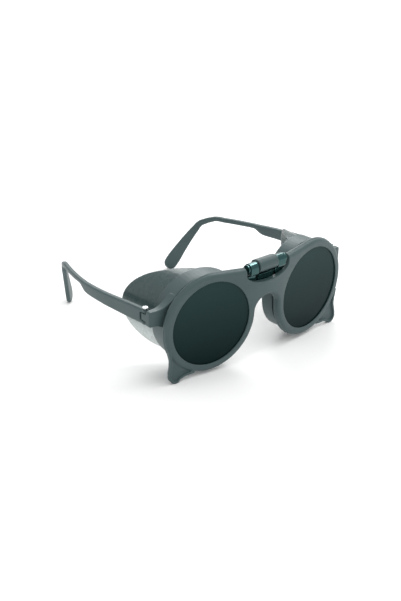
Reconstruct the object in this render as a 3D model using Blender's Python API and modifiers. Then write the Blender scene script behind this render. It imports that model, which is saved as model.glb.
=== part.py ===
"""Flip-up welding goggles with round lenses.

Frame: the origin is the middle of the flat rear face of the nose bridge.
+X is the wearer's left, +Y points back towards the ears, +Z is up.  Metres.
Each eye has its own wrapped lens plane; "depth" below is measured from that
plane, positive towards the wearer.
"""
from math import cos, hypot, pi, radians, sin

import bmesh
import bpy
from mathutils import Matrix, Vector

MM = 0.001
GAP = 0.3 * MM                   # clearance between touching pieces

# ---- eyes -----------------------------------------------------------------
WRAP = radians(7.8)              # each lens plane turns back by this much
BRIDGE_Y = -10.33 * MM           # y of that plane at the middle of the bridge
BRIDGE_TOP = 12.8 * MM           # z of the flip front's top edge beside the notch
BEND_HALF = 9.5 * MM             # half length of the curved middle stretch
LENS_RADIUS = 25.0 * MM          # standard 50 mm round lens
EYE_GAP = 22.73 * MM             # between the two lenses
BEAD = 1.0 * MM                  # how far a rim overlaps its lens
RING_WIDTH = 1.7 * MM            # radial width of a lens retaining ring
RING_DEPTH = 0.9 * MM

# ---- flip front -------------------------------------------------------------
FRONT_FACE = -0.9 * MM           # depth of its front face
FRONT_BACK = 2.9 * MM            # depth of its rear face
FLANGE_FACE = 1.2 * MM           # depth of the rims' outer step
TAB_FACE = -0.8 * MM             # depth of a finger tab's raised border
TAB_BACK = 1.9 * MM              # depth of its rear face
FRONT_RADIUS = LENS_RADIUS + 3.6 * MM  # outside of the rims
FRONT_EDGE = 1.9 * MM            # rounding of the raised face
FRONT_INSET = 0.3 * MM           # raised face inside the flange
FILTER_LIP = 0.8 * MM            # plastic in front of a filter lens
FILTER_THICK = 1.6 * MM
ARCH_HEIGHT = 7.6 * MM           # nose arch above the lens centres
TOP_EDGE = LENS_RADIUS + 1.8 * MM  # top edge beside the notch
NOTCH_BOTTOM = TOP_EDGE - 10.0 * MM  # crescent notch in the top edge
NOTCH_HALF = 15.2 * MM
NOTCH_CORNER = TOP_EDGE - 4.4 * MM
TAB_SIDE = LENS_RADIUS + 0.8 * MM  # finger tab, from the lens centre
TAB_BOTTOM = -LENS_RADIUS - 4.8 * MM
TAB_ROUND = 4.2 * MM
TAB_WAIST = 1.3 * MM             # its side is hollowed by this much
TAB_FLARE = 0.11                 # it leans forwards by this slope
TAB_RIM = 1.3 * MM               # width of the raised border of a tab
TAB_RIM_TALL = 1.1 * MM

# ---- flip hinge ---------------------------------------------------------------
PIN_Y = -7.1 * MM
PIN_Z = 11.2 * MM
PIN_RADIUS = 1.7 * MM
PIN_HEAD = 2.5 * MM
STRAP_INNER = 7.2 * MM           # |x| of the straps
STRAP_OUTER = 12.6 * MM
STRAP_THICK = 0.9 * MM
STRAP_FOOT = -4.0 * MM           # z of a strap's lower end
SEAT_Y = -7.9 * MM               # rear face of the bridge bar, where the straps sit
KNUCKLE_RADIUS = 3.7 * MM
KNUCKLE_HALF = 6.7 * MM
SPRING_HALF = 5.6 * MM
SPRING_THICK = 0.5 * MM
SPRING_TOP = 6.4 * MM
RIVET_Z = -1.2 * MM
RIVET_RADIUS = 1.0 * MM
RIVET_HEAD = 1.7 * MM
RIVET_DEPTH = 1.6 * MM           # how far a rivet reaches into the front

# ---- rear frame ---------------------------------------------------------------
REAR_FACE = 5.3 * MM             # depth of its front face
REAR_BACK = 14.6 * MM            # depth of the rims' rear edge at the lens centre
RIM_SLANT = 0.075                # the rear edge runs back towards the temples
RIM_RADIUS = LENS_RADIUS + 1.4 * MM
PLATE_THICK = 4.0 * MM
REAR_ARCH = 9.4 * MM
REAR_TOP = TOP_EDGE - 6.8 * MM
CLEAR_LIP = 1.0 * MM
CLEAR_THICK = 2.0 * MM
LUG_REACH = 7.335 * MM           # from a rim's side to the outer face of its lug
LUG_RISE = 7.75 * MM             # middle of a lug above the lens centre
LUG_TALL = 8.7 * MM
LUG_FLARE = 6.2 * MM             # how far a lug sweeps up and down into the rim
LUG_BEHIND = 8.9 * MM            # front of a lug behind the lens centre
LUG_SWEEP = 1.2 * MM             # the outer corner lies this much further back
LUG_DEEP = 4.2 * MM

# ---- arms ---------------------------------------------------------------------
ARM_THICK = 3.2 * MM
PIN_BEHIND = 6.5 * MM            # upright hinge pins behind the front of a lug
TONGUE_TALL = 4.0 * MM
ARM_PIN_RADIUS = 0.9 * MM
ARM_PIN_HEAD = 1.5 * MM
ARM_PIN_HEAD_TALL = 0.7 * MM
ARM_LENGTH = 93.6 * MM           # from the pin to the start of the bend
ARM_STEP = 55.0 * MM             # from the pin to the step in the lower edge
NARROW_TALL = 3.0 * MM
STEP_TALL = 6.1 * MM
EAR_DROP = 30.0 * MM             # height of the part that goes behind the ear
EAR_LEAN = 13.5 * MM             # how far its end leans inwards
EAR_BACK = 14.2 * MM
EAR_THICK = 2.7 * MM
EAR_WIDTH = 8.2 * MM
TOE_IN = 14.0 * MM               # the arm's end comes in by this much
ARM_FALL = 8.9 * MM              # and down by this much

# ---- side shields -------------------------------------------------------------
SHIELD_THICK = 1.0 * MM
SHIELD_REACH = 32.7 * MM         # from the lens plane's edge to the longest part
SHIELD_START = 14.0 * MM         # where that reach is counted from, behind the centre
SHIELD_BACK_WIDE = LENS_RADIUS - 1.7 * MM  # half width at the rear edge
SHIELD_BACK_UP = LENS_RADIUS - 1.7 * MM  # its height above and below the lens centre
SHIELD_BACK_DOWN = LENS_RADIUS + 0.5 * MM
SHIELD_FROM = radians(-80.0)
SHIELD_TO = radians(94.0)
SHIELD_LONGEST = radians(8.0)

SIDES = {"left": 1, "right": -1}
SEAT_FRONT = SEAT_Y + GAP         # front face of what is fastened to the seat

bend_radius = BEND_HALF / WRAP
eye_x = LENS_RADIUS + EYE_GAP / 2
flat_eye = BEND_HALF + (eye_x - bend_radius * sin(WRAP)) / cos(WRAP)
lens_back = BRIDGE_Y + bend_radius * (1 - cos(WRAP)) + (flat_eye - BEND_HALF) * sin(WRAP)
lens_up = BRIDGE_TOP - TOP_EDGE
lug_out = eye_x + RIM_RADIUS + LUG_REACH
lug_middle = lens_up + LUG_RISE
lug_front = lens_back + LUG_BEHIND
hinge_y = lug_front + PIN_BEHIND
arm_x = lug_out - ARM_THICK / 2


# ---- scene and materials --------------------------------------------------------
def clear_scene():
    for obj in list(bpy.data.objects):
        bpy.data.objects.remove(obj, do_unlink=True)


def new_collection(name):
    collection = bpy.data.collections.new(name)
    bpy.context.scene.collection.children.link(collection)
    return collection


def material(name, colour, roughness, metallic=0.0, alpha=1.0):
    mat = bpy.data.materials.new(name)
    mat.use_nodes = True
    shader = mat.node_tree.nodes["Principled BSDF"]
    shader.inputs["Base Color"].default_value = (*colour, 1.0)
    shader.inputs["Roughness"].default_value = roughness
    shader.inputs["Metallic"].default_value = metallic
    shader.inputs["Alpha"].default_value = alpha
    return mat


# ---- mesh helpers ---------------------------------------------------------------
def mesh_object(name, mesh, home):
    obj = bpy.data.objects.new(name, mesh)
    home.objects.link(obj)
    return obj


def as_cutter(obj):
    obj.hide_render = True
    obj.display_type = "WIRE"
    return obj


def boolean(obj, tool, operation):
    mod = obj.modifiers.new(operation.title() + " " + tool.name, "BOOLEAN")
    mod.object = tool
    mod.operation = operation
    mod.solver = "EXACT"


def cut(obj, tool):
    boolean(obj, tool, "DIFFERENCE")


def join(obj, tool):
    boolean(obj, tool, "UNION")


def finish(obj, mat):
    """Give a piece its material and smooth shading with sharp edges."""
    obj.data.materials.clear()
    obj.data.materials.append(mat)
    obj.data.shade_smooth()
    obj.data.set_sharp_from_angle(angle=radians(35))


def cylinder(name, radius, start, end, home, segments=32):
    """Cylinder from one point to another."""
    axis = Vector(end) - Vector(start)
    bm = bmesh.new()
    bmesh.ops.create_cone(bm, cap_ends=True, segments=segments, radius1=radius,
                          radius2=radius, depth=axis.length)
    mesh = bpy.data.meshes.new(name)
    bm.to_mesh(mesh)
    bm.free()
    obj = mesh_object(name, mesh, home)
    turn = axis.to_track_quat("Z", "Y").to_matrix().to_4x4()
    obj.matrix_world = Matrix.Translation((Vector(start) + Vector(end)) / 2) @ turn
    return obj


def box(name, low, high, home):
    low = Vector(low)
    high = Vector(high)
    bm = bmesh.new()
    bmesh.ops.create_cube(bm, size=1.0)
    bmesh.ops.scale(bm, vec=high - low, verts=bm.verts)
    mesh = bpy.data.meshes.new(name)
    bm.to_mesh(mesh)
    bm.free()
    obj = mesh_object(name, mesh, home)
    obj.location = (low + high) / 2
    return obj


def turned(name, profile, home, steps=72):
    """Ring turned about Z from a closed (radius, z) profile."""
    mesh = bpy.data.meshes.new(name)
    count = len(profile)
    mesh.from_pydata([(r, 0.0, z) for r, z in profile],
                     [(i, (i + 1) % count) for i in range(count)], [])
    obj = mesh_object(name, mesh, home)
    screw = obj.modifiers.new("Turn", "SCREW")
    screw.steps = steps
    screw.render_steps = steps
    screw.use_merge_vertices = True
    screw.merge_threshold = 0.00001
    return obj


def extruded(name, outline, low, high, home, rounding=0.0, rounds=0):
    """Solid mesh of a flat outline between two heights of the local Z."""
    curve = bpy.data.curves.new(name, "CURVE")
    curve.dimensions = "2D"
    curve.fill_mode = "BOTH"
    curve.extrude = (high - low) / 2 - rounding
    curve.bevel_depth = rounding
    curve.offset = -rounding
    curve.bevel_resolution = rounds
    spline = curve.splines.new("POLY")
    spline.points.add(len(outline) - 1)
    for point, (x, y) in zip(spline.points, outline):
        point.co = (x, y, 0.0, 1.0)
    spline.use_cyclic_u = True
    drawn = mesh_object(name + " outline", curve, home)
    bpy.context.view_layer.update()
    evaluated = drawn.evaluated_get(bpy.context.evaluated_depsgraph_get())
    mesh = bpy.data.meshes.new_from_object(evaluated)
    bpy.data.objects.remove(drawn, do_unlink=True)
    bpy.data.curves.remove(curve)
    bm = bmesh.new()
    bm.from_mesh(mesh)
    bmesh.ops.remove_doubles(bm, verts=bm.verts, dist=0.000002)
    bmesh.ops.translate(bm, vec=(0, 0, (low + high) / 2), verts=bm.verts)
    bmesh.ops.recalc_face_normals(bm, faces=bm.faces)
    bm.to_mesh(mesh)
    bm.free()
    mesh.name = name
    return mesh_object(name, mesh, home)


def trim(obj, height):
    """Cut a solid off flat above a height of its local Z."""
    bm = bmesh.new()
    bm.from_mesh(obj.data)
    geom = bm.verts[:] + bm.edges[:] + bm.faces[:]
    bmesh.ops.bisect_plane(bm, geom=geom, dist=0.000001, plane_co=(0, 0, height),
                           plane_no=(0, 0, 1), clear_outer=True)
    rim = [edge for edge in bm.edges if edge.is_boundary]
    bmesh.ops.holes_fill(bm, edges=rim, sides=0)
    bmesh.ops.triangulate(bm, faces=[f for f in bm.faces if len(f.verts) > 4])
    bmesh.ops.recalc_face_normals(bm, faces=bm.faces)
    bm.to_mesh(obj.data)
    bm.free()


def arc(centre, radius, start, end, step=6.0):
    """Points on an arc, angles in degrees, both ends included."""
    count = max(2, round(abs(end - start) / step))
    angles = [radians(start + (end - start) * i / count) for i in range(count + 1)]
    return [(centre[0] + radius * cos(a), centre[1] + radius * sin(a)) for a in angles]


def mirrored(half):
    """Closed outline from its half with x >= 0, listed from top to bottom."""
    other = [(-x, y) for x, y in reversed(half) if x > 1e-6]
    return half + other


def smooth(points, closed=False, parts=4):
    """Points on a smooth curve through a few given ones."""
    def at(i):
        if closed:
            return Vector(points[i % len(points)])
        return Vector(points[min(max(i, 0), len(points) - 1)])
    out = []
    for i in range(len(points) - (0 if closed else 1)):
        a, b, c, d = at(i - 1), at(i), at(i + 1), at(i + 2)
        for k in range(parts):
            t = k / parts
            out.append(0.5 * (2 * b + (c - a) * t + (2 * a - 5 * b + 4 * c - d) * t ** 2
                              + (3 * b - a - 3 * c + d) * t ** 3))
    if not closed:
        out.append(Vector(points[-1]))
    return out


# ---- the wrapped front ------------------------------------------------------------
def wrapped(flat, height, depth):
    """World point of a place on the flat front: the middle bends, the eyes stay flat."""
    side = -1 if flat < 0 else 1
    along = min(abs(flat), BEND_HALF)
    turn = along / bend_radius
    rest = abs(flat) - along
    x = (bend_radius - depth) * sin(turn) + rest * cos(turn)
    y = BRIDGE_Y + bend_radius - (bend_radius - depth) * cos(turn) + rest * sin(turn)
    return Vector((side * x, y, lens_up + height))


def wrap(obj):
    """Bend a flat solid (x along the front, y up, z depth) round the middle."""
    bm = bmesh.new()
    bm.from_mesh(obj.data)
    for i in range(-4, 5):
        geom = bm.verts[:] + bm.edges[:] + bm.faces[:]
        bmesh.ops.bisect_plane(bm, geom=geom, dist=0.000001,
                               plane_co=(BEND_HALF * i / 4, 0, 0), plane_no=(1, 0, 0))
    for vert in bm.verts:
        vert.co = wrapped(*vert.co)
    bmesh.ops.reverse_faces(bm, faces=bm.faces)
    bm.to_mesh(obj.data)
    bm.free()


def lens_place(side, depth=0.0):
    """Placement at an eye: local Z points to the wearer, local X outwards."""
    back = Vector((-side * sin(WRAP), cos(WRAP), 0.0))
    out = Vector((side * cos(WRAP), sin(WRAP), 0.0))
    up = back.cross(out)
    turn = Matrix((out, up, back)).transposed().to_4x4()
    centre = Vector((side * eye_x, lens_back, lens_up))
    return Matrix.Translation(centre + back * depth) @ turn


def lens_disc(name, radius, start, end, side, home, segments=72):
    obj = cylinder(name, radius, (0, 0, start), (0, 0, end), home, segments)
    obj.matrix_world = lens_place(side) @ obj.matrix_world
    return obj


# ---- flip front -------------------------------------------------------------------
def tab_points(inset=0.0):
    """Outline of a finger tab, from the rim's outer side to its underside."""
    side = flat_eye + TAB_SIDE - inset
    bottom = TAB_BOTTOM + inset
    radius = TAB_ROUND - inset
    waist = [(side - TAB_WAIST * sin(pi * t) ** 2 + 0.6 * MM * (1 - t),
              bottom + radius + (1 - t) * 16 * MM) for t in [i / 8 for i in range(8)]]
    lobe = arc((side - radius, bottom + radius), radius, 0, -110, 12)
    neck = [(flat_eye + across * FRONT_RADIUS, inset - down * FRONT_RADIUS)
            for across, down in ((0.665, 0.985), (0.56, 0.95), (0.43, 0.942))]
    return waist + lobe + neck


def front_half(inset=0.0):
    """Half of the flip front's outline, from the middle of the top to the arch."""
    radius = FRONT_RADIUS - inset
    top = TOP_EDGE - inset
    half = flat_eye - radius
    crown = [(0.0, top), (NOTCH_HALF + 2 * MM, top)]
    rim = arc((flat_eye, 0.0), radius, 97, -180)
    steps = [pi / 2 * i / 8 for i in range(1, 8)]
    arch = [(half * cos(t), (ARCH_HEIGHT + inset) * sin(t)) for t in steps]
    return crown + rim + arch + [(0.0, ARCH_HEIGHT + inset)]


def notch_outline():
    """Crescent notch, open at the top."""
    steps = [pi / 2 * i / 9 for i in range(10)]
    drop = NOTCH_CORNER - NOTCH_BOTTOM
    half = [(NOTCH_HALF * sin(t), NOTCH_CORNER - drop * cos(t)) for t in steps]
    half.append((NOTCH_HALF + 0.6 * MM, TOP_EDGE + 2 * MM))
    return mirrored([(0.0, TOP_EDGE + 2 * MM)] + list(reversed(half)))


def make_tab(side, inset, low, high, name, home):
    """Solid over a finger tab, from inside the rim to the tab's edge less an inset."""
    root = FRONT_RADIUS - 2.5 * inset
    loop = tab_points(inset)
    loop += [(flat_eye + 0.32 * root, -0.93 * root), (flat_eye + 0.60 * root, -0.60 * root),
             (flat_eye + 0.80 * root, -0.35 * root)]
    obj = extruded(f"{name} {side}", [(side * x, y) for x, y in loop], low, high, home)
    for vert in obj.data.vertices:
        reach = hypot(abs(vert.co.x) - flat_eye, vert.co.y) - FRONT_RADIUS
        vert.co.z -= TAB_FLARE * max(0.0, reach)
    wrap(obj)
    return as_cutter(obj)


def make_flip_front(parts, cutters, nylon):
    front = extruded("flip_front", mirrored(front_half()), FLANGE_FACE, FRONT_BACK,
                     parts, rounding=0.4 * MM)
    wrap(front)
    for side in SIDES.values():
        tab = make_tab(side, 0.0, TAB_FACE, TAB_BACK, "tab", cutters)
        cut(tab, make_tab(side, TAB_RIM, TAB_FACE - 5 * MM, TAB_FACE + TAB_RIM_TALL,
                          "tab hollow", cutters))
        join(front, tab)
    outline = mirrored(front_half(FRONT_INSET))
    raised = extruded("front raised face", outline, FRONT_FACE,
                      FRONT_FACE + 2.5 * FRONT_EDGE, cutters, FRONT_EDGE, rounds=2)
    trim(raised, FRONT_BACK - 0.5 * MM)
    wrap(raised)
    join(front, as_cutter(raised))
    notch = extruded("front notch", notch_outline(), -10 * MM, 10 * MM, cutters)
    wrap(notch)
    cut(front, as_cutter(notch))
    for side in SIDES.values():
        far = 10 * MM
        hole = lens_disc(f"filter aperture {side}", LENS_RADIUS - BEAD, -far, far,
                         side, cutters)
        cut(front, as_cutter(hole))
        pocket = lens_disc(f"filter pocket {side}", LENS_RADIUS + GAP,
                           FRONT_FACE + FILTER_LIP, far, side, cutters)
        cut(front, as_cutter(pocket))
    seat = box("hinge seat", (-NOTCH_HALF, SEAT_Y, STRAP_FOOT - 1.5 * MM),
               (NOTCH_HALF, SEAT_FRONT + 9 * MM, lens_up + TOP_EDGE + 5 * MM), cutters)
    cut(front, as_cutter(seat))
    for side in SIDES.values():
        x = side * (STRAP_INNER + STRAP_OUTER) / 2
        start = (x, SEAT_Y - RIVET_DEPTH - GAP, RIVET_Z)
        hole = cylinder(f"rivet hole {side}", RIVET_RADIUS + GAP, start,
                        (x, SEAT_FRONT + 5 * MM, RIVET_Z), cutters, 20)
        cut(front, as_cutter(hole))
    finish(front, nylon)
    return front


def make_lens_ring(name, side, back, parts, mat):
    """Retaining ring whose rear face is at the given depth."""
    outer = LENS_RADIUS
    inner = LENS_RADIUS - RING_WIDTH
    profile = [(outer, RING_DEPTH), (outer, 0.0), (inner, 0.0), (inner, RING_DEPTH)]
    ring = turned(name, profile, parts)
    ring.matrix_world = lens_place(side, back - RING_DEPTH)
    finish(ring, mat)
    return ring


def make_filters(parts, glass, nylon):
    made = []
    front = FRONT_FACE + FILTER_LIP + 0.1 * MM
    for word, side in SIDES.items():
        lens = lens_disc(f"filter_lens_{word}", LENS_RADIUS, front, front + FILTER_THICK,
                         side, parts)
        finish(lens, glass)
        ring = make_lens_ring(f"filter_ring_{word}", side,
                              front + FILTER_THICK + 0.1 * MM + RING_DEPTH, parts, nylon)
        made += [lens, ring]
    return made


# ---- flip hinge -------------------------------------------------------------------
def strip(name, centreline, thick, low_x, high_x, home):
    """Bent strip of sheet metal: a centreline in (y, z) with a width along X."""
    points = [Vector(p) for p in centreline]
    left = []
    right = []
    for i, point in enumerate(points):
        before = points[max(i - 1, 0)]
        after = points[min(i + 1, len(points) - 1)]
        along = (after - before).normalized()
        normal = Vector((-along.y, along.x)) * thick / 2
        left.append(tuple(point + normal))
        right.append(tuple(point - normal))
    obj = extruded(name, left + list(reversed(right)), low_x, high_x, home)
    for vert in obj.data.vertices:
        y, z, x = vert.co
        vert.co = (x, y, z)
    return obj


def make_hinge(parts, cutters, steel):
    made = []
    pin = cylinder("hinge_pin", PIN_RADIUS, (-STRAP_OUTER - 0.6 * MM, PIN_Y, PIN_Z),
                   (STRAP_OUTER + 0.6 * MM, PIN_Y, PIN_Z), parts, 24)
    for side in SIDES.values():
        head = cylinder(f"pin head {side}", PIN_HEAD,
                        (side * (STRAP_OUTER + GAP), PIN_Y, PIN_Z),
                        (side * (STRAP_OUTER + GAP + 1.0 * MM), PIN_Y, PIN_Z), cutters, 24)
        join(pin, as_cutter(head))
    finish(pin, steel)
    made.append(pin)
    centre = PIN_RADIUS + GAP + STRAP_THICK / 2
    foot_y = SEAT_FRONT + STRAP_THICK / 2
    jog = NOTCH_CORNER + lens_up - 1.2 * MM
    leg = [(foot_y, STRAP_FOOT), (foot_y, jog - 0.6 * MM), (foot_y - 0.3 * MM, jog),
           (PIN_Y - centre + 0.2 * MM, jog + 0.7 * MM), (PIN_Y - centre, jog + 1.3 * MM)]
    curl = [(PIN_Y + centre * cos(radians(a)), PIN_Z + centre * sin(radians(a)))
            for a in range(180, -91, -15)]
    for word, side in SIDES.items():
        low, high = sorted((side * STRAP_INNER, side * STRAP_OUTER))
        strap = strip(f"hinge_strap_{word}", leg + curl, STRAP_THICK, low, high, parts)
        x = (low + high) / 2
        hole = cylinder(f"strap hole {side}", RIVET_RADIUS + GAP,
                        (x, SEAT_FRONT - 2 * MM, RIVET_Z),
                        (x, SEAT_FRONT + 3 * MM, RIVET_Z), cutters, 20)
        cut(strap, as_cutter(hole))
        finish(strap, steel)
        rivet = cylinder(f"hinge_rivet_{word}", RIVET_RADIUS,
                         (x, SEAT_Y - RIVET_DEPTH, RIVET_Z),
                         (x, SEAT_FRONT + STRAP_THICK + GAP + 0.5 * MM, RIVET_Z), parts, 20)
        head = cylinder(f"rivet head {side}", RIVET_HEAD,
                        (x, SEAT_FRONT + STRAP_THICK + GAP, RIVET_Z),
                        (x, SEAT_FRONT + STRAP_THICK + GAP + 0.8 * MM, RIVET_Z), cutters, 24)
        join(rivet, as_cutter(head))
        finish(rivet, steel)
        made += [strap, rivet]
    mid = SEAT_FRONT + SPRING_THICK / 2
    blade = [(mid, STRAP_FOOT), (mid, SPRING_TOP - 2.5 * MM),
             (mid - 0.3 * MM, SPRING_TOP - 1.2 * MM), (mid - 0.9 * MM, SPRING_TOP)]
    spring = strip("hinge_leaf_spring", blade, SPRING_THICK, -SPRING_HALF, SPRING_HALF, parts)
    finish(spring, steel)
    made.append(spring)
    return made


# ---- rear frame -------------------------------------------------------------------
def rear_half():
    """Outline of the rear plate, from the top of the bridge to the arch."""
    radius = RIM_RADIUS - 0.4 * MM
    eye = (flat_eye, 0.0)
    top = [(0.0, REAR_TOP), (7.0 * MM, REAR_TOP), (14.0 * MM, REAR_TOP + 0.3 * MM)]
    rim = arc(eye, radius, 122, -180)
    half = flat_eye - radius
    arch = [(half * cos(t), REAR_ARCH * sin(t)) for t in [pi / 2 * i / 8 for i in range(1, 9)]]
    arch[-1] = (0.0, REAR_ARCH)
    return top + rim + arch


def knuckle_web():
    """Side view (y, z) of the block that carries the knuckle."""
    return [(PIN_Y, PIN_Z + KNUCKLE_RADIUS - 0.15 * MM),
            (PIN_Y + 3.6 * MM, PIN_Z + 2.4 * MM),
            (-0.4 * MM, PIN_Z - 3.6 * MM),
            (-0.4 * MM, -2.4 * MM),
            (PIN_Y + 3.4 * MM, -2.4 * MM),
            (PIN_Y + 3.4 * MM, PIN_Z - 4.4 * MM),
            (PIN_Y + 2.2 * MM, PIN_Z - 2.6 * MM),
            (PIN_Y, PIN_Z - 1.0 * MM)]


def lug_outline():
    """Front view of a lug (x outwards, z up), sweeping out of the rim."""
    half = LUG_TALL / 2
    end = lug_out - 3.6 * MM
    steps = [i / 7 for i in range(8)]
    top_run = 12.0 * MM
    upper = [(end - top_run * (1 - t), lug_middle + half + LUG_FLARE * (1 - t) ** 2)
             for t in steps]
    low_run = 8.5 * MM
    lower = [(end - low_run * (1 - t), lug_middle - half - LUG_FLARE * (1 - t) ** 2)
             for t in reversed(steps)]
    nose = 0.7 * MM
    tip = [(lug_out - nose, lug_middle + half), (lug_out, lug_middle + half - nose),
           (lug_out, lug_middle - half + nose), (lug_out - nose, lug_middle - half)]
    return upper + tip + lower


def make_lug(side, home):
    name = f"lug {side}"
    lug = extruded(name, [(side * x, z) for x, z in lug_outline()],
                   lug_front, lug_front + LUG_DEEP, home)
    root = eye_x + RIM_RADIUS * cos(WRAP)
    for vert in lug.data.vertices:
        x, z, y = vert.co
        if y < lug_front + LUG_DEEP / 2:
            y += LUG_SWEEP * (abs(x) - root) / (lug_out - root)
        vert.co = (x, y, z)
    bm = bmesh.new()
    bm.from_mesh(lug.data)
    bmesh.ops.recalc_face_normals(bm, faces=bm.faces)
    bm.to_mesh(lug.data)
    bm.free()
    return as_cutter(lug)


def make_tongue(side, home):
    """Plan outline of the tongue that the arm's fork goes round."""
    reach = lug_front + LUG_DEEP - 1.2 * MM
    radius = ARM_THICK / 2 - 0.05 * MM
    outline = [(arm_x - radius, reach)]
    outline += reversed(arc((arm_x, hinge_y + 0.7 * MM), radius, 0, 180, 15))
    outline += [(arm_x + radius, reach)]
    tongue = extruded(f"tongue {side}", [(side * x, y) for x, y in outline],
                      lug_middle - TONGUE_TALL / 2, lug_middle + TONGUE_TALL / 2, home)
    return as_cutter(tongue)


def make_rear_frame(parts, cutters, nylon):
    frame = extruded("rear_frame", mirrored(rear_half()), REAR_FACE + 0.3 * MM,
                     REAR_FACE + PLATE_THICK, parts, rounding=0.4 * MM)
    wrap(frame)
    for side in SIDES.values():
        rim = lens_disc(f"rim {side}", RIM_RADIUS, REAR_FACE, REAR_BACK, side, cutters)
        to_eye = lens_place(side).inverted() @ rim.matrix_world
        for vert in rim.data.vertices:
            if vert.co.z > 0:
                vert.co.z += RIM_SLANT * (to_eye @ vert.co).x
        join(frame, as_cutter(rim))
        join(frame, make_lug(side, cutters))
        join(frame, make_tongue(side, cutters))
    web = extruded("knuckle web", knuckle_web(), -KNUCKLE_HALF, KNUCKLE_HALF, cutters)
    for vert in web.data.vertices:
        y, z, x = vert.co
        vert.co = (x, y, z)
    join(frame, as_cutter(web))
    barrel = cylinder("knuckle barrel", KNUCKLE_RADIUS, (-KNUCKLE_HALF + 0.1 * MM, PIN_Y, PIN_Z),
                      (KNUCKLE_HALF - 0.1 * MM, PIN_Y, PIN_Z), cutters, 40)
    join(frame, as_cutter(barrel))
    pad = box("bridge pad", (-8 * MM, PIN_Y + 3.8 * MM, -3.4 * MM),
              (8 * MM, 0.0, 4.6 * MM), cutters)
    join(frame, as_cutter(pad))
    bore = cylinder("knuckle bore", PIN_RADIUS + GAP, (-9 * MM, PIN_Y, PIN_Z),
                    (9 * MM, PIN_Y, PIN_Z), cutters, 24)
    cut(frame, as_cutter(bore))
    for side in SIDES.values():
        far = 40 * MM
        hole = lens_disc(f"clear aperture {side}", LENS_RADIUS - BEAD, -2 * MM, far, side, cutters)
        cut(frame, as_cutter(hole))
        pocket = lens_disc(f"clear pocket {side}", LENS_RADIUS + GAP,
                           REAR_FACE + CLEAR_LIP, far, side, cutters)
        cut(frame, as_cutter(pocket))
        hole = cylinder(f"tongue bore {side}", ARM_PIN_RADIUS + GAP,
                        (side * arm_x, hinge_y, lug_middle - 9 * MM),
                        (side * arm_x, hinge_y, lug_middle + 9 * MM), cutters, 20)
        cut(frame, as_cutter(hole))
    finish(frame, nylon)
    return frame


def make_clear_lenses(parts, clear, nylon):
    made = []
    front = REAR_FACE + CLEAR_LIP + 0.1 * MM
    for word, side in SIDES.items():
        lens = lens_disc(f"clear_lens_{word}", LENS_RADIUS, front, front + CLEAR_THICK,
                         side, parts)
        finish(lens, clear)
        ring = make_lens_ring(f"clear_ring_{word}", side,
                              front + CLEAR_THICK + 0.1 * MM + RING_DEPTH, parts, nylon)
        made += [lens, ring]
    return made


# ---- arms -------------------------------------------------------------------------
def arm_stations():
    """Middle point, height and half thickness along the left arm."""
    straight = ARM_STEP / ARM_LENGTH

    def fall(t):
        return lug_middle - ARM_FALL * t

    def toe(t):
        return TOE_IN * max(0.0, (t - 0.3) / 0.7) ** 2

    points = []
    heights = []
    tall = LUG_TALL
    for t in (0.0, 0.12, 0.24, 0.36, 0.48, straight - 0.03, straight, straight + 0.03,
              straight + 0.06, 0.72, 0.8, 0.88, 0.94):
        height = tall + (STEP_TALL - tall) * min(1.0, max(0.0, t - 0.1) / (straight - 0.1))
        middle = fall(t)
        if t > straight - 0.01:
            blend = min(1.0, (t - straight + 0.01) / 0.06)
            narrow = STEP_TALL + (NARROW_TALL - STEP_TALL) * blend
            middle += (STEP_TALL - narrow) / 2
            height = narrow
        points.append((arm_x - toe(t), hinge_y + ARM_LENGTH * t, middle))
        heights.append(height)
    end_x = arm_x - TOE_IN
    end_y = hinge_y + ARM_LENGTH
    end_z = fall(1.0)
    for t in (0.03, 0.16, 0.32, 0.5, 0.7, 0.87, 1.0):
        points.append((end_x - EAR_LEAN * t ** 0.9 - 1.5 * MM,
                       end_y + EAR_BACK * t ** 0.8 + 1.5 * MM,
                       end_z - 1.2 * MM - EAR_DROP * t))
        heights.append(NARROW_TALL + 0.6 * MM
                       + (EAR_WIDTH - NARROW_TALL - 0.6 * MM) * min(1.0, t * 1.15))
    return points, heights


def section(height, thick, parts=2):
    """Rounded rectangle, as (across, up) pairs."""
    radius = min(height, thick) * 0.3
    loop = []
    for cx, cy, start in ((1, 1, 0), (-1, 1, 90), (-1, -1, 180), (1, -1, 270)):
        centre = (cx * (thick / 2 - radius), cy * (height / 2 - radius))
        loop += arc(centre, radius, start, start + 90, 90 / parts)
    return loop


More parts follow.
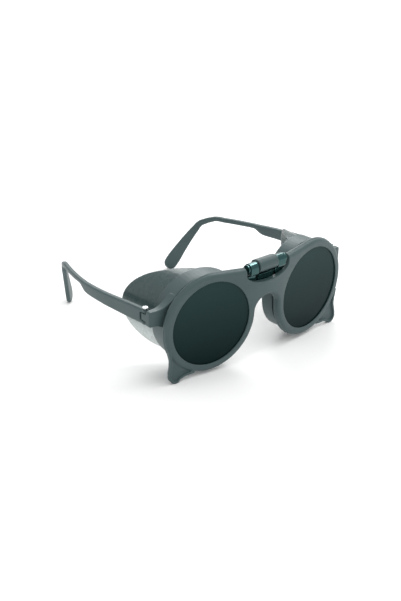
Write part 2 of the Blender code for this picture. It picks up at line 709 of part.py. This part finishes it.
def make_arm(word, side, parts, cutters, nylon):
    points, heights = arm_stations()
    path = smooth(points, parts=2)
    tall = [v.x for v in smooth([(h, 0.0, 0.0) for h in heights], parts=2)]
    tip = (path[-1] - path[-2]).normalized()
    end = path[-1]
    radius = tall[-1] / 2
    for turn in (20, 40, 58, 72, 82):
        path.append(end + tip * radius * sin(radians(turn)))
        tall.append(tall[len(points) * 2 - 2] * cos(radians(turn)))
    bm = bmesh.new()
    loops = []
    for i, point in enumerate(path):
        before = path[max(i - 1, 0)]
        after = path[min(i + 1, len(path) - 1)]
        along = (after - before).normalized()
        across = Vector((along.y, -along.x, 0.0)).normalized()
        up = across.cross(along)
        behind = min(1.0, max(0.0, (point.y - hinge_y) / ARM_LENGTH - 0.9) * 5)
        thick = min(ARM_THICK + (EAR_THICK - ARM_THICK) * behind, max(tall[i], 0.6 * MM))
        loop = []
        for a, b in section(tall[i], thick):
            place = point + across * a + up * b
            loop.append(bm.verts.new((side * place.x, place.y, place.z)))
        loops.append(loop)
    for one, two in zip(loops, loops[1:]):
        count = len(one)
        for k in range(count):
            bm.faces.new((one[k], one[(k + 1) % count], two[(k + 1) % count], two[k]))
    bm.faces.new(loops[0])
    bm.faces.new(loops[-1])
    bmesh.ops.recalc_face_normals(bm, faces=bm.faces)
    bmesh.ops.translate(bm, vec=(-side * arm_x, -hinge_y, 0), verts=bm.verts)
    mesh = bpy.data.meshes.new(f"temple_{word}")
    bm.to_mesh(mesh)
    bm.free()
    arm = mesh_object(f"temple_{word}", mesh, parts)
    arm.location = (side * arm_x, hinge_y, 0)
    low = lug_middle - LUG_TALL / 2
    high = lug_middle + LUG_TALL / 2
    eye = cylinder(f"fork end {side}", ARM_THICK / 2 - 0.02 * MM,
                   (side * arm_x, hinge_y, low + 0.05 * MM),
                   (side * arm_x, hinge_y, high - 0.05 * MM), cutters, 32)
    join(arm, as_cutter(eye))
    slot_end = hinge_y + 0.7 * MM + ARM_THICK / 2 + GAP
    slot = box(f"fork slot {side}",
               (side * arm_x - 5 * MM, hinge_y - 5 * MM, lug_middle - TONGUE_TALL / 2 - GAP),
               (side * arm_x + 5 * MM, slot_end, lug_middle + TONGUE_TALL / 2 + GAP), cutters)
    cut(arm, as_cutter(slot))
    hole = cylinder(f"fork bore {side}", ARM_PIN_RADIUS + GAP,
                    (side * arm_x, hinge_y, low - 3 * MM),
                    (side * arm_x, hinge_y, high + 3 * MM), cutters, 20)
    cut(arm, as_cutter(hole))
    finish(arm, nylon)
    return arm


def make_arm_pin(word, side, parts, cutters, steel):
    x = side * arm_x
    low = lug_middle - LUG_TALL / 2 + 0.2 * MM
    high = lug_middle + LUG_TALL / 2 + GAP
    pin = cylinder(f"temple_pin_{word}", ARM_PIN_RADIUS, (x, hinge_y, low),
                   (x, hinge_y, high + 0.2 * MM), parts, 20)
    head = cylinder(f"arm pin head {side}", ARM_PIN_HEAD, (x, hinge_y, high),
                    (x, hinge_y, high + ARM_PIN_HEAD_TALL), cutters, 24)
    join(pin, as_cutter(head))
    finish(pin, steel)
    return pin


# ---- side shields -----------------------------------------------------------------
def shield_point(angle, along, side):
    """Place on a shield: from inside the rim (0) to its rear edge (1)."""
    radius = LENS_RADIUS - SHIELD_THICK / 2
    front = lens_place(side) @ Vector((radius * cos(angle), 0, shield_front()))
    front.z = lens_up + radius * sin(angle)
    seat_depth = REAR_BACK + RIM_SLANT * radius * cos(angle) + 0.5 * MM
    seat = lens_place(side) @ Vector((radius * cos(angle), 0, seat_depth))
    seat.z = front.z
    if along < 0.2:
        return front.lerp(seat, along / 0.2)
    swing = max(0.0, cos(0.95 * (angle - SHIELD_LONGEST)))
    back_y = max(seat.y + 1.0 * MM, lens_back + SHIELD_START + SHIELD_REACH * swing ** 1.1)
    tall = SHIELD_BACK_UP if angle > 0 else SHIELD_BACK_DOWN
    ease = min(1.0, (back_y - seat.y) / (14 * MM))
    back = Vector((side * (eye_x + SHIELD_BACK_WIDE * cos(angle)), back_y,
                   lens_up + tall * sin(angle)))
    back.x = seat.x + (back.x - seat.x) * ease
    back.z = seat.z + (back.z - seat.z) * ease
    return seat.lerp(back, (along - 0.2) / 0.8)


def shield_front():
    """Depth of a shield's front edge, behind the clear lens's ring."""
    return REAR_FACE + CLEAR_LIP + CLEAR_THICK + RING_DEPTH + 3 * GAP


def make_shield(word, side, parts, smoke):
    rows = 28
    columns = 7
    bm = bmesh.new()
    grid = []
    for i in range(rows + 1):
        angle = SHIELD_FROM + (SHIELD_TO - SHIELD_FROM) * i / rows
        grid.append([bm.verts.new(shield_point(angle, j / columns, side))
                     for j in range(columns + 1)])
    for one, two in zip(grid, grid[1:]):
        for j in range(columns):
            bm.faces.new((one[j], one[j + 1], two[j + 1], two[j]))
    if side < 0:
        bmesh.ops.reverse_faces(bm, faces=bm.faces)
    mesh = bpy.data.meshes.new(f"side_shield_{word}")
    bm.to_mesh(mesh)
    bm.free()
    shield = mesh_object(f"side_shield_{word}", mesh, parts)
    wall = shield.modifiers.new("Wall", "SOLIDIFY")
    wall.thickness = SHIELD_THICK
    wall.offset = 0.0
    finish(shield, smoke)
    return shield


# ---- assembly ---------------------------------------------------------------------
def parent_to(empty, pieces):
    bpy.context.view_layer.update()
    for piece in pieces:
        place = piece.matrix_world.copy()
        piece.parent = empty
        piece.matrix_parent_inverse = empty.matrix_world.inverted()
        piece.matrix_world = place


def make_empty(name, location, home):
    empty = bpy.data.objects.new(name, None)
    empty.empty_display_size = 0.01
    empty.location = location
    home.objects.link(empty)
    return empty


def main():
    clear_scene()
    parts = new_collection("welding_goggles")
    cutters = new_collection("cutters")
    nylon = material("grey nylon", (0.095, 0.135, 0.135), 0.45)
    glass = material("dark filter glass", (0.012, 0.02, 0.02), 0.12)
    clear = material("clear lens", (0.85, 0.9, 0.9), 0.05, alpha=0.25)
    smoke = material("smoked vinyl", (0.16, 0.2, 0.2), 0.2, alpha=0.6)
    steel = material("blackened steel", (0.03, 0.035, 0.035), 0.2, metallic=1.0)

    make_rear_frame(parts, cutters, nylon)
    make_clear_lenses(parts, clear, nylon)
    front = make_flip_front(parts, cutters, nylon)
    moving = [front] + make_filters(parts, glass, nylon) + make_hinge(parts, cutters, steel)
    hinge = make_empty("flip hinge axis", (0.0, PIN_Y, PIN_Z), parts)
    parent_to(hinge, moving)
    for word, side in SIDES.items():
        make_arm(word, side, parts, cutters, nylon)
        make_arm_pin(word, side, parts, cutters, steel)
        make_shield(word, side, parts, smoke)


main()
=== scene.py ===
"""Looks of the flip-up welding goggles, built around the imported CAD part.

Origin at the rear of the nose bridge, +X the wearer's left, +Y back towards the
ears, +Z up, metres.
"""
from math import radians

import bpy
from mathutils import Matrix, Vector


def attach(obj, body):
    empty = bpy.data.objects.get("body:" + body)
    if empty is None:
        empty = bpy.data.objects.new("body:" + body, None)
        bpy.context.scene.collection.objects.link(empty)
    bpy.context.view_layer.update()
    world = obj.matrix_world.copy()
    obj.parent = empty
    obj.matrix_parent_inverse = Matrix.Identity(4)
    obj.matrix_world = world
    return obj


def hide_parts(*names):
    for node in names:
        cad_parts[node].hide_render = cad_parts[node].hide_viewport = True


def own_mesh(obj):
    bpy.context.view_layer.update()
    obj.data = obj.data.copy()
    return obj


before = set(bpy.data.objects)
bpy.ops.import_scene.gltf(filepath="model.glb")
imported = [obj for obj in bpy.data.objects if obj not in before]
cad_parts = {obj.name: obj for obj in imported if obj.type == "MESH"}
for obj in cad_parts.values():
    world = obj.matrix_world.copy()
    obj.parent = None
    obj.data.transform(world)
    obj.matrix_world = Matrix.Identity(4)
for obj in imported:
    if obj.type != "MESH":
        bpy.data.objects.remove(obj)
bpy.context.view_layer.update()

MM = 0.001
SIDES = {"left": 1, "right": -1}

# ---- camera and stage ---------------------------------------------------------
CAMERA_PLACE = Vector((-0.4258, -0.4364, 0.2901))
CAMERA_RIGHT = Vector((0.7590, -0.6502, 0.03348))
CAMERA_UP = Vector((0.2690, 0.3600, 0.8933))
CAMERA_BACK = Vector((-0.5929, -0.6690, 0.4481))
CAMERA_LENS = 74.58               # mm on a 36 mm wide sensor
FLOOR_HALF = 3.0
RESTING_ROUNDS = 4                # rounds to find the two lowest points
MIDDLE = (0.0, 0.03, -0.02)       # what the lights point at
STRIPE_PLACE = (0.50, -0.05, 0.68)
STRIPE_SIZE = (0.5, 0.05)
STRIPE_POWER = 1.6
SOFTBOX_PLACE = (0.60, 0.85, 0.70)
SOFTBOX_SIZE = (0.8, 0.5)
SOFTBOX_POWER = 7.0
SUN_AIM = (-0.40, 0.30, -0.86)
SUN_ANGLE = radians(60)
SUN_POWER = 0.6
SURROUND = 0.95                   # brightness of the white surround

# ---- heights between which painted light and shade change a colour --------------
# painted light and shade on the filter glass: dark at the low height, lighter at the high
# one
FILTER_SHADE_LOW = -39 * MM
FILTER_SHADE_HIGH = 11 * MM
# painted light on the side shields: pale at the low height where floor light shines
# through, dark in shade at the high one
SHIELD_PAINTED_LIGHT = -26 * MM
SHIELD_PAINTED_SHADE = -6 * MM

# ---- moulded pieces: voxel, smoothing rounds and share of faces kept ----------
SOFT = {"voxel": 0.22 * MM, "rounds": 4, "keep": 0.25}
ARM = {"voxel": 0.35 * MM, "rounds": 6, "keep": 0.30}
SHEET = {"voxel": 0.35 * MM, "rounds": 20, "keep": 0.80}
STEEL = {"voxel": 0.12 * MM, "rounds": 3, "keep": 0.30}
WELD_WITHIN = 0.002 * MM


# ---- node material helpers ------------------------------------------------------
def new_material(name):
    mat = bpy.data.materials.new(name)
    mat.use_nodes = True
    return mat, mat.node_tree, mat.node_tree.nodes["Principled BSDF"]


def add(tree, kind, **values):
    node = tree.nodes.new(kind)
    for key, value in values.items():
        setattr(node, key, value)
    return node


def noise(tree, scale, detail=2.0, roughness=0.5):
    """Noise over the object's own coordinates, scale in cycles per metre."""
    place = add(tree, "ShaderNodeTexCoord")
    node = add(tree, "ShaderNodeTexNoise")
    node.inputs["Scale"].default_value = scale
    node.inputs["Detail"].default_value = detail
    node.inputs["Roughness"].default_value = roughness
    tree.links.new(place.outputs["Object"], node.inputs["Vector"])
    return node.outputs["Fac"]


def ramp(tree, factor, low, high, start=0.3, end=0.7):
    """Colour or grey value between low and high as factor runs from start to end."""
    node = add(tree, "ShaderNodeValToRGB")
    node.color_ramp.elements[0].position = start
    node.color_ramp.elements[1].position = end
    node.color_ramp.elements[0].color = (*low, 1.0)
    node.color_ramp.elements[1].color = (*high, 1.0)
    tree.links.new(factor, node.inputs["Fac"])
    return node.outputs["Color"]


def span(tree, factor, low, high):
    """Number between low and high as factor runs from 0.3 to 0.7."""
    node = add(tree, "ShaderNodeMapRange")
    node.inputs["From Min"].default_value = 0.3
    node.inputs["From Max"].default_value = 0.7
    node.inputs["To Min"].default_value = low
    node.inputs["To Max"].default_value = high
    tree.links.new(factor, node.inputs["Value"])
    return node.outputs["Result"]


def bump(tree, shader, factor, height):
    """Bump of that height in metres."""
    node = add(tree, "ShaderNodeBump")
    node.inputs["Strength"].default_value = 1.0
    node.inputs["Distance"].default_value = height
    tree.links.new(factor, node.inputs["Height"])
    tree.links.new(node.outputs["Normal"], shader.inputs["Normal"])


def height_between(tree, low, high):
    """0 at the lower height and 1 at the upper one."""
    place = add(tree, "ShaderNodeTexCoord")
    split = add(tree, "ShaderNodeSeparateXYZ")
    node = add(tree, "ShaderNodeMapRange")
    node.inputs["From Min"].default_value = low
    node.inputs["From Max"].default_value = high
    tree.links.new(place.outputs["Object"], split.inputs["Vector"])
    tree.links.new(split.outputs["Z"], node.inputs["Value"])
    return node.outputs["Result"]


def nylon_material():
    mat, tree, shader = new_material("grey nylon")
    broad = noise(tree, 45.0, 3.0)
    tree.links.new(ramp(tree, broad, (0.045, 0.074, 0.077), (0.055, 0.086, 0.088)),
                   shader.inputs["Base Color"])
    fine = noise(tree, 900.0, 4.0, 0.6)
    tree.links.new(span(tree, fine, 0.36, 0.46), shader.inputs["Roughness"])
    shader.inputs["Specular IOR Level"].default_value = 0.3
    bump(tree, shader, fine, 0.008 * MM)
    return mat


def filter_material():
    mat, tree, shader = new_material("dark filter glass")
    # Painted light and shade: the glass colour runs from dark at the bottom to lighter at
    # the top.
    painted_shading = height_between(tree, FILTER_SHADE_LOW, FILTER_SHADE_HIGH)
    tree.links.new(ramp(tree, painted_shading, (0.002, 0.010, 0.010), (0.019, 0.041, 0.041), 0.0, 1.0),
                   shader.inputs["Base Color"])
    dust = noise(tree, 160.0, 3.0)
    tree.links.new(span(tree, dust, 0.05, 0.11), shader.inputs["Roughness"])
    shader.inputs["Specular IOR Level"].default_value = 0.05
    return mat


def clear_material():
    mat, tree, shader = new_material("clear lens")
    tree.nodes.remove(shader)
    gloss = add(tree, "ShaderNodeBsdfGlossy")
    tree.links.new(span(tree, noise(tree, 160.0, 3.0), 0.02, 0.06),
                   gloss.inputs["Roughness"])
    through = add(tree, "ShaderNodeBsdfTransparent")
    through.inputs["Color"].default_value = (0.92, 0.965, 0.955, 1.0)
    edge = add(tree, "ShaderNodeFresnel")
    edge.inputs["IOR"].default_value = 1.45
    mix = add(tree, "ShaderNodeMixShader")
    tree.links.new(edge.outputs["Fac"], mix.inputs["Fac"])
    tree.links.new(through.outputs["BSDF"], mix.inputs[1])
    tree.links.new(gloss.outputs["BSDF"], mix.inputs[2])
    tree.links.new(mix.outputs["Shader"], tree.nodes["Material Output"].inputs["Surface"])
    return mat


def vinyl_material():
    mat, tree, shader = new_material("smoky vinyl")
    # Painted light and shade: the vinyl is pale at the bottom, as if lit through by the
    # floor, and dark in shade at the top.
    painted_shading = height_between(tree, SHIELD_PAINTED_LIGHT, SHIELD_PAINTED_SHADE)
    tree.links.new(ramp(tree, painted_shading, (0.55, 0.61, 0.60), (0.045, 0.078, 0.080), 0.1, 0.9),
                   shader.inputs["Base Color"])
    fine = noise(tree, 300.0, 2.0)
    tree.links.new(span(tree, fine, 0.24, 0.32), shader.inputs["Roughness"])
    glow = add(tree, "ShaderNodeBsdfTranslucent")
    glow.inputs["Color"].default_value = (0.50, 0.55, 0.54, 1.0)
    mix = add(tree, "ShaderNodeMixShader")
    mix.inputs["Fac"].default_value = 0.22
    out = tree.nodes["Material Output"]
    tree.links.new(shader.outputs["BSDF"], mix.inputs[1])
    tree.links.new(glow.outputs["BSDF"], mix.inputs[2])
    tree.links.new(mix.outputs["Shader"], out.inputs["Surface"])
    return mat


def black_steel_material():
    mat, tree, shader = new_material("black steel")
    broad = noise(tree, 120.0, 2.0)
    tree.links.new(ramp(tree, broad, (0.002, 0.012, 0.012), (0.003, 0.016, 0.016)),
                   shader.inputs["Base Color"])
    fine = noise(tree, 1200.0, 3.0)
    tree.links.new(span(tree, fine, 0.06, 0.10), shader.inputs["Roughness"])
    shader.inputs["Specular IOR Level"].default_value = 0.8
    shader.inputs["Specular Tint"].default_value = (0.45, 1.0, 1.0, 1.0)
    return mat


def pin_material():
    mat, tree, shader = new_material("plain steel")
    fine = noise(tree, 900.0, 3.0)
    tree.links.new(ramp(tree, fine, (0.40, 0.42, 0.42), (0.50, 0.52, 0.52)),
                   shader.inputs["Base Color"])
    tree.links.new(span(tree, fine, 0.22, 0.34), shader.inputs["Roughness"])
    shader.inputs["Metallic"].default_value = 1.0
    return mat


NYLON = nylon_material()
FILTER = filter_material()
CLEAR = clear_material()
VINYL = vinyl_material()
BLACK = black_steel_material()
PIN = pin_material()


# ---- pieces -----------------------------------------------------------------------
def dress(node, mat):
    """Show a CAD node as it is, with a material."""
    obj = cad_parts[node]
    obj.data.materials.clear()
    obj.data.materials.append(mat)
    return obj


def evaluated_mesh(obj):
    bpy.context.view_layer.update()
    graph = bpy.context.evaluated_depsgraph_get()
    return bpy.data.meshes.new_from_object(obj.evaluated_get(graph))


def moulded(node, body, mat, slot, voxel, rounds, keep):
    """A copy of a CAD node with every edge softly rounded, which stands for it."""
    obj = bpy.data.objects.new(node + "_moulded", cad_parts[node].data.copy())
    bpy.context.scene.collection.objects.link(obj)
    weld = obj.modifiers.new("Weld", "WELD")
    weld.merge_threshold = WELD_WITHIN
    remesh = obj.modifiers.new("Remesh", "REMESH")
    remesh.mode = "VOXEL"
    remesh.voxel_size = voxel
    remesh.use_smooth_shade = True
    soften = obj.modifiers.new("Soften", "SMOOTH")
    soften.factor = 0.5
    soften.iterations = rounds
    thin = obj.modifiers.new("Thin", "DECIMATE")
    thin.ratio = keep
    mesh = evaluated_mesh(obj)
    obj.modifiers.clear()
    obj.data = mesh
    mesh.materials.clear()
    mesh.materials.append(mat)
    mesh.shade_smooth()
    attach(obj, body)
    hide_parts(node)
    return obj


def build_pieces():
    moulded("rear_frame", "frame", NYLON, "grey_nylon", **SOFT)
    moulded("flip_front", "flip", NYLON, "grey_nylon", **SOFT)
    for node in ("hinge_pin", "hinge_leaf_spring"):
        moulded(node, "flip", BLACK, "black_steel", **STEEL)
    for word in SIDES:
        moulded(f"temple_{word}", f"arm_{word}", NYLON, "grey_nylon", **ARM)
        for part in ("strap", "rivet"):
            moulded(f"hinge_{part}_{word}", "flip", BLACK, "black_steel", **STEEL)
        moulded(f"temple_pin_{word}", "frame", PIN, "pin_steel", **STEEL)
        shield = moulded(f"side_shield_{word}", "frame", VINYL, "smoked_vinyl", **SHEET)
        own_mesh(shield)
        dress(f"clear_lens_{word}", CLEAR)
        dress(f"clear_ring_{word}", NYLON)
        dress(f"filter_lens_{word}", FILTER)
        dress(f"filter_ring_{word}", NYLON)


# ---- stage ------------------------------------------------------------------------
def resting_plane():
    """Height at y = 0 and slope of the surface the goggles stand on."""
    front = [v.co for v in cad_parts["flip_front"].data.vertices]
    arms = [v.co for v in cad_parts["temple_left"].data.vertices]
    slope = 0.0
    for _ in range(RESTING_ROUNDS):
        low_front = min(front, key=lambda p: p.z - slope * p.y)
        low_arm = min(arms, key=lambda p: p.z - slope * p.y)
        slope = (low_arm.z - low_front.z) / (low_arm.y - low_front.y)
    return low_front.z - slope * low_front.y, slope


def build_floor():
    height, slope = resting_plane()
    mesh = bpy.data.meshes.new("floor")
    corners = [(x, y, height + slope * y) for x, y in
               ((-FLOOR_HALF, -FLOOR_HALF), (FLOOR_HALF, -FLOOR_HALF),
                (FLOOR_HALF, FLOOR_HALF), (-FLOOR_HALF, FLOOR_HALF))]
    mesh.from_pydata(corners, [], [(0, 1, 2, 3)])
    floor = bpy.data.objects.new("floor", mesh)
    bpy.context.scene.collection.objects.link(floor)
    mat, tree, shader = new_material("floor paper")
    tree.links.new(ramp(tree, noise(tree, 8.0), (0.90, 0.90, 0.90), (0.92, 0.92, 0.92)),
                   shader.inputs["Base Color"])
    shader.inputs["Roughness"].default_value = 0.9
    shader.inputs["Specular IOR Level"].default_value = 0.1
    mesh.materials.append(mat)


def add_light(name, kind, power, aim):
    """A lamp that shines along aim."""
    light = bpy.data.lights.new(name, kind)
    light.energy = power
    obj = bpy.data.objects.new(name, light)
    bpy.context.scene.collection.objects.link(obj)
    obj.rotation_euler = Vector(aim).to_track_quat("-Z", "Y").to_euler()
    return obj


def area_light(name, place, size, power):
    """A rectangular lamp that points at the object and isn't seen itself."""
    obj = add_light(name, "AREA", power, Vector(MIDDLE) - Vector(place))
    obj.data.shape = "RECTANGLE"
    obj.data.size, obj.data.size_y = size
    obj.location = place
    obj.visible_camera = False


def build_lights():
    area_light("stripe", STRIPE_PLACE, STRIPE_SIZE, STRIPE_POWER)
    area_light("back softbox", SOFTBOX_PLACE, SOFTBOX_SIZE, SOFTBOX_POWER)
    overhead = add_light("overhead", "SUN", SUN_POWER, SUN_AIM)
    overhead.data.angle = SUN_ANGLE
    overhead.visible_glossy = False
    world = bpy.data.worlds.new("studio")
    world.use_nodes = True
    backdrop = world.node_tree.nodes["Background"]
    backdrop.inputs["Color"].default_value = (1, 1, 1, 1)
    backdrop.inputs["Strength"].default_value = SURROUND
    bpy.context.scene.world = world


def build_camera():
    data = bpy.data.cameras.new("camera")
    data.lens = CAMERA_LENS
    camera = bpy.data.objects.new("camera", data)
    bpy.context.scene.collection.objects.link(camera)
    turn = Matrix((CAMERA_RIGHT, CAMERA_UP, CAMERA_BACK)).transposed().to_4x4()
    camera.matrix_world = Matrix.Translation(CAMERA_PLACE) @ turn
    bpy.context.scene.camera = camera


build_pieces()
build_floor()
build_lights()
build_camera()
bpy.context.scene.view_settings.view_transform = "Standard"
